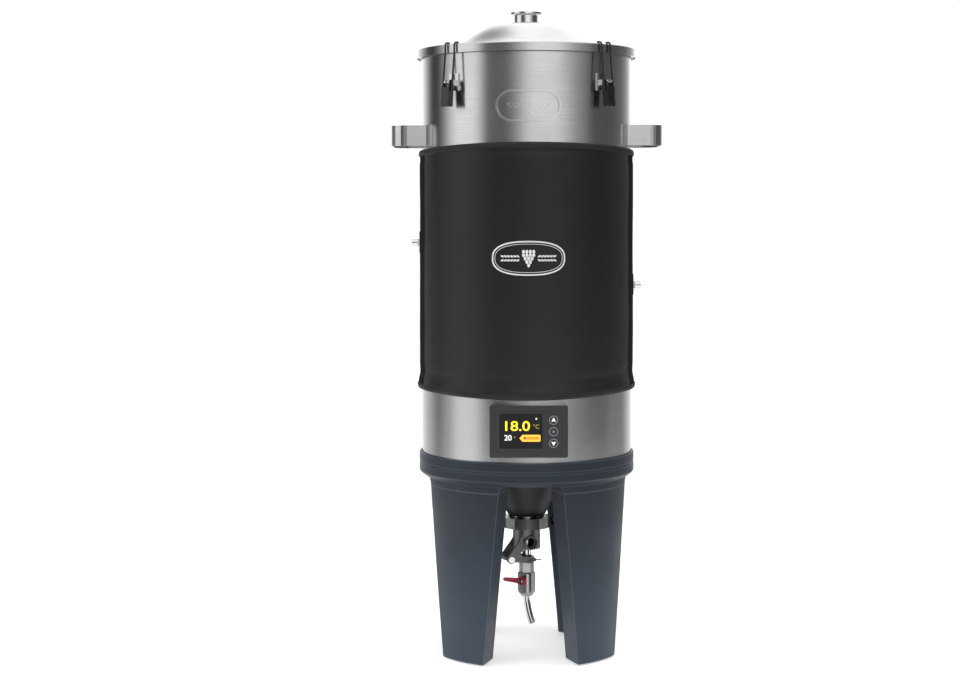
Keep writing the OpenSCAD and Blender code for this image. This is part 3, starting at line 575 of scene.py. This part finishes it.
def sleeve_badge():
    """Generic white print: an oval band, a hop cone and two barley ears."""
    parts = []
    for k, quad in enumerate(ring_quads(oval(0.057, 0.0265), oval(0.0548, 0.0243))):
        parts.append(curved_print(f"badge_band_{k}", quad, BADGE_Z))
    for k, quad in enumerate(ring_quads(oval(0.0525, 0.0220), oval(0.0518, 0.0213))):
        parts.append(curved_print(f"badge_line_{k}", quad, BADGE_Z))
    for row, width in enumerate((4, 4, 3, 2, 1)):
        for k in range(width):
            u = (k - (width - 1) / 2) * 0.0052
            scale = leaf(u, 0.010 - row * 0.0052, 0.0066, 0.0047, math.pi / 2)
            parts.append(curved_print(f"badge_hop_{row}_{k}", scale, BADGE_Z))
    for side in (-1, 1):
        for k in range(6):
            for lean in (-1, 1):
                u = side * (0.0165 + k * 0.0048)
                turn = lean * 0.5 if side > 0 else math.pi - lean * 0.5
                grain = leaf(u, lean * 0.0031, 0.0060, 0.0028, turn)
                parts.append(curved_print(f"badge_ear_{side}_{k}_{lean}", grain, BADGE_Z))
    return join("sleeve_badge", parts)


def build_sleeve():
    """The sleeve with its tapes, stitches and badge, in place of the plain CAD tube."""
    sleeve = make_sleeve()
    trims = [
        swept_ring("sleeve_binding_top", "binding", binding_section(sleeve_top, 1), 240),
        swept_ring("sleeve_binding_low", "binding", binding_section(sleeve_hem, -1), 240),
        stitches("sleeve_stitch_top", sleeve_top, 0.0068, 1),
        stitches("sleeve_stitch_low", sleeve_hem, 0.0068, -1),
        port_binding("sleeve_hole_left", -1, LEFT_PORT_Z),
        port_binding("sleeve_hole_right", 1, RIGHT_PORT_Z),
        sleeve_badge(),
    ]
    for piece in [sleeve] + trims:
        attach(piece, "tank")
    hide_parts("neoprene_sleeve")


# ---------- Control panel ----------

PANEL_Y = -0.1715
FORWARD = Vector((0, -1, 0))
BUTTONS = {"button_up": 0.3887, "button_set": 0.371, "button_down": 0.3533}


def on_panel(depth):
    """Places a flat outline on the panel's front, depth metres in front of it."""
    return lambda u, v, w: Vector((u, PANEL_Y - depth - w, v))


def text_mesh(name, words, look, size, centre, depth, weight=0.012, stretch=1.2):
    """Numbers and unit signs on the display."""
    curve = bpy.data.curves.new(name, "FONT")
    curve.body = words
    curve.size = size
    curve.extrude = 0.00008
    curve.offset = size * weight
    curve.align_x = "LEFT"
    curve.align_y = "CENTER"
    obj = bpy.data.objects.new(name, curve)
    bpy.context.scene.collection.objects.link(obj)
    bpy.context.view_layer.update()
    graph = bpy.context.evaluated_depsgraph_get()
    mesh = bpy.data.meshes.new_from_object(obj.evaluated_get(graph))
    bpy.data.objects.remove(obj)
    piece = bpy.data.objects.new(name, mesh)
    bpy.context.scene.collection.objects.link(piece)
    for vertex in mesh.vertices:
        x, y, z = vertex.co
        vertex.co = (centre[0] + x * stretch, PANEL_Y - depth - z, centre[1] + y)
    mesh.materials.clear()
    mesh.materials.append(MATERIALS[look])
    return piece


def frame_line(name, look, box, width, depth):
    """Thin rectangular line on the panel. box is x0, z0, x1, z1."""
    x0, z0, x1, z1 = box
    w = width
    outer = [(x0, z0), (x1, z0), (x1, z1), (x0, z1)]
    inner = [(x0 + w, z0 + w), (x1 - w, z0 + w), (x1 - w, z1 - w), (x0 + w, z1 - w)]
    parts = [
        plate(f"{name}_{k}", look, quad, on_panel(depth), 0.0002)
        for k, quad in enumerate(ring_quads(outer, inner))
    ]
    return join(name, parts)


def build_display():
    """Readings behind the window, and the marks that travel with the buttons."""
    level = -0.0003
    ink = level + 0.0001
    behind = PANEL_Y + 0.0002
    pieces = [
        text_mesh("display_reading", "18.0", "yellow", 0.0208, (-0.0407, 0.3789), ink),
        text_mesh("display_unit", "°C", "faint", 0.0092, (0.0063, 0.3784), ink, 0.0, 1.0),
        text_mesh("display_target", "20", "white", 0.0118, (-0.0377, 0.3613), ink, 0.012, 1.0),
        text_mesh("display_degree", "°", "faint", 0.0085, (-0.0233, 0.3600), ink, 0.0, 1.0),
        plate(
            "display_bar", "orange",
            [(-0.0143, 0.3610), (-0.0096, 0.3558), (0.0168, 0.3558), (0.0178, 0.3568),
             (0.0178, 0.3652), (0.0168, 0.3662), (-0.0096, 0.3662)],
            on_panel(level), 0.0003,
        ),
        disc("display_flame", "heater", Vector((-0.0058, behind, 0.3610)), FORWARD, 0.0022, 0.0003),
        plate(
            "display_bar_line", "amber",
            [(-0.0030, 0.3589), (0.0160, 0.3589), (0.0160, 0.3631), (-0.0030, 0.3631)],
            on_panel(0.00002), 0.00015,
        ),
        disc("display_dot", "white", Vector((0.0116, behind, 0.3908)), FORWARD, 0.0013, 0.0003),
        frame_line("panel_inset_line", "rubber", (-0.0520, 0.3400, 0.0520, 0.4020), 0.0008, 0.0),
    ]
    for piece in pieces:
        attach(piece, "tank")
    for name, z in BUTTONS.items():
        front = Vector((0.038, PANEL_Y - 0.0005, z))
        ring = disc(f"{name}_ring", "dim", front, FORWARD, 0.0068, 0.00025, hole=0.0060)
        if name == "button_set":
            mark = disc(f"{name}_mark", "dim", front, FORWARD, 0.0016, 0.00025)
        else:
            s = 1 if name == "button_up" else -1
            shape = [
                (0.0345, z - s * 0.0026), (0.038, z - s * 0.0012),
                (0.0415, z - s * 0.0026), (0.038, z + s * 0.0040),
            ]
            if s < 0:
                shape.reverse()
            mark = plate(f"{name}_mark", "white", shape, on_panel(0.0005), 0.00025)
        for piece in (ring, mark):
            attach(piece, name)


# ---------- Stage, light and camera ----------

# Brightness of the studio by angle in degrees, 0 at the front and growing to the right:
# seen level from the tank, below it, and overhead
STUDIO_LEVEL = [
    (-180, 1.6), (-156, 1.3), (-142, 0.7), (-126, 0.02), (-112, 0.02), (-102, 0.3), (-92, 0.85),
    (-82, 1.2), (-58, 1.15), (-51, 0.7), (-44, 0.12), (-24, 0.12), (-16, 0.3), (-9, 0.6),
    (-2, 1.0), (6, 1.3), (30, 1.25), (44, 0.8), (51, 0.57), (58, 0.4), (66, 0.3), (74, 0.12),
    (84, 0.09), (104, 0.08), (114, 0.12), (126, 0.18), (143, 0.5), (156, 1.3), (180, 1.6),
]
STUDIO_BELOW = [
    (-180, 1.3), (-146, 0.73), (-128, 0.5), (-114, 0.22), (-103, 0.35), (-92, 0.42), (-83, 0.76),
    (-66, 0.84), (-58, 0.66), (-51, 0.4), (-44, 0.17), (-36, 0.12), (-28, 0.09), (38, 0.09),
    (56, 0.12), (92, 0.13), (104, 0.24), (128, 0.26), (146, 0.7), (180, 1.3),
]
STUDIO_ABOVE = [
    (-180, 1.6), (-170, 1.6), (-165, 0.8), (-160, 0.0), (-146, 0.0), (-137, 0.2), (-126, 0.8),
    (-112, 1.3), (110, 1.2), (128, 0.7), (138, 0.8), (146, 1.5), (180, 1.6),
]
STUDIO_TOP = 1.6


class World:
    """Node tree of the studio surroundings."""

    def __init__(self):
        self.world = bpy.data.worlds.new("studio")
        bpy.context.scene.world = self.world
        self.world.use_nodes = True
        self.tree = self.world.node_tree
        self.tree.nodes.clear()

    node = Shader.node

    def ramp(self, fac, stops):
        ramp = self.node("ShaderNodeValToRGB", [("Fac", fac)])
        band = ramp.color_ramp
        while len(band.elements) < len(stops):
            band.elements.new(0.5)
        for element, (degrees, level) in zip(band.elements, stops):
            share = level / STUDIO_TOP
            element.position = (degrees + 180) / 360
            element.color = (share, share, share, 1)
        return ramp.outputs["Color"]

    def fade(self, height, low, high, start, end):
        """low becomes high between two heights on the unit sphere."""
        fac = self.node(
            "ShaderNodeMapRange", [(0, height), (1, start), (2, end), (3, 0.0), (4, 1.0)]
        )
        mix = self.node("ShaderNodeMix", [("Factor", fac.outputs[0])], data_type="RGBA")
        self.tree.links.new(low, mix.inputs["A"])
        self.tree.links.new(high, mix.inputs["B"])
        return mix.outputs["Result"]


def build_world():
    """Banded studio for reflections, plain white for what the camera sees directly."""
    w = World()
    place = w.node("ShaderNodeTexCoord").outputs["Generated"]
    x, y, z = w.node("ShaderNodeSeparateXYZ", [("Vector", place)]).outputs
    front = w.node("ShaderNodeMath", [(0, y), (1, -1.0)], operation="MULTIPLY").outputs[0]
    angle = w.node("ShaderNodeMath", [(0, x), (1, front)], operation="ARCTAN2").outputs[0]
    turn = w.node(
        "ShaderNodeMapRange", [(0, angle), (1, -math.pi), (2, math.pi), (3, 0.0), (4, 1.0)]
    ).outputs[0]
    colour = w.fade(z, w.ramp(turn, STUDIO_BELOW), w.ramp(turn, STUDIO_LEVEL), -0.06, 0.0)
    colour = w.fade(z, colour, w.ramp(turn, STUDIO_ABOVE), 0.4, 0.6)
    bands = w.node("ShaderNodeBackground", [("Color", colour), ("Strength", STUDIO_TOP)])
    plain = w.node("ShaderNodeBackground", [("Color", (1, 1, 1, 1)), ("Strength", 1.05)])
    seen = w.node("ShaderNodeLightPath").outputs["Is Camera Ray"]
    mix = w.node("ShaderNodeMixShader", [(0, seen), (1, bands.outputs[0]), (2, plain.outputs[0])])
    out = w.node("ShaderNodeOutputWorld")
    w.tree.links.new(mix.outputs[0], out.inputs["Surface"])


def area_light(name, place, target, size, power):
    """A soft lamp that lights the part but leaves no patch in the steel."""
    data = bpy.data.lights.new(name, "AREA")
    data.shape = "RECTANGLE"
    data.size, data.size_y = size
    data.energy = power
    lamp = bpy.data.objects.new(name, data)
    lamp.location = place
    lamp.rotation_euler = (Vector(target) - Vector(place)).to_track_quat("-Z", "Y").to_euler()
    lamp.visible_glossy = False
    bpy.context.scene.collection.objects.link(lamp)


def build_stage():
    """Pale round floor and two soft lamps."""
    s = Shader("floor_pale", Roughness=0.9)
    fine = s.noise(s.coords(), 40, 2)
    s.feed("Base Color", s.colours(fine, (0.3, (0.86, 0.86, 0.86)), (0.7, (0.88, 0.88, 0.88))))
    s.bsdf.inputs["Emission Color"].default_value = (1, 1, 1, 1)
    s.bsdf.inputs["Emission Strength"].default_value = 0.45
    reach, sides = 1.4, 96
    mesh = bpy.data.meshes.new("floor")
    mesh.from_pydata(
        [on_tank(2 * math.pi * k / sides, reach, -0.0005) for k in range(sides)],
        [], [tuple(range(sides))],
    )
    mesh.materials.append(s.mat)
    floor = bpy.data.objects.new("floor", mesh)
    bpy.context.scene.collection.objects.link(floor)
    area_light("key", (-2.2, -1.8, 1.6), (0, 0, 0.4), (1.2, 1.2), 16)
    area_light("fill", (2.4, -0.6, 0.5), (0, 0, 0.2), (0.9, 0.9), 2.5)


def build_camera():
    """Camera at the photograph's angle, aimed by its own yaw and pitch."""
    distance, height = 2.9697, 0.7094
    turn, yaw, pitch = math.radians(-1.2), math.radians(1.437), math.radians(2.817)
    roll = math.radians(0.13)
    data = bpy.data.cameras.new("camera")
    data.lens = 68.974
    data.sensor_width = 36
    data.shift_y = -0.0384
    data.dof.use_dof = False
    camera = bpy.data.objects.new("camera", data)
    camera.location = on_tank(turn, distance, height)
    camera.rotation_euler = (math.pi / 2 - pitch, roll, turn + yaw)
    bpy.context.scene.collection.objects.link(camera)
    bpy.context.scene.camera = camera


dress_nodes()
build_sleeve()
build_display()
build_world()
build_stage()
build_camera()
bpy.context.scene.view_settings.view_transform = "Standard"
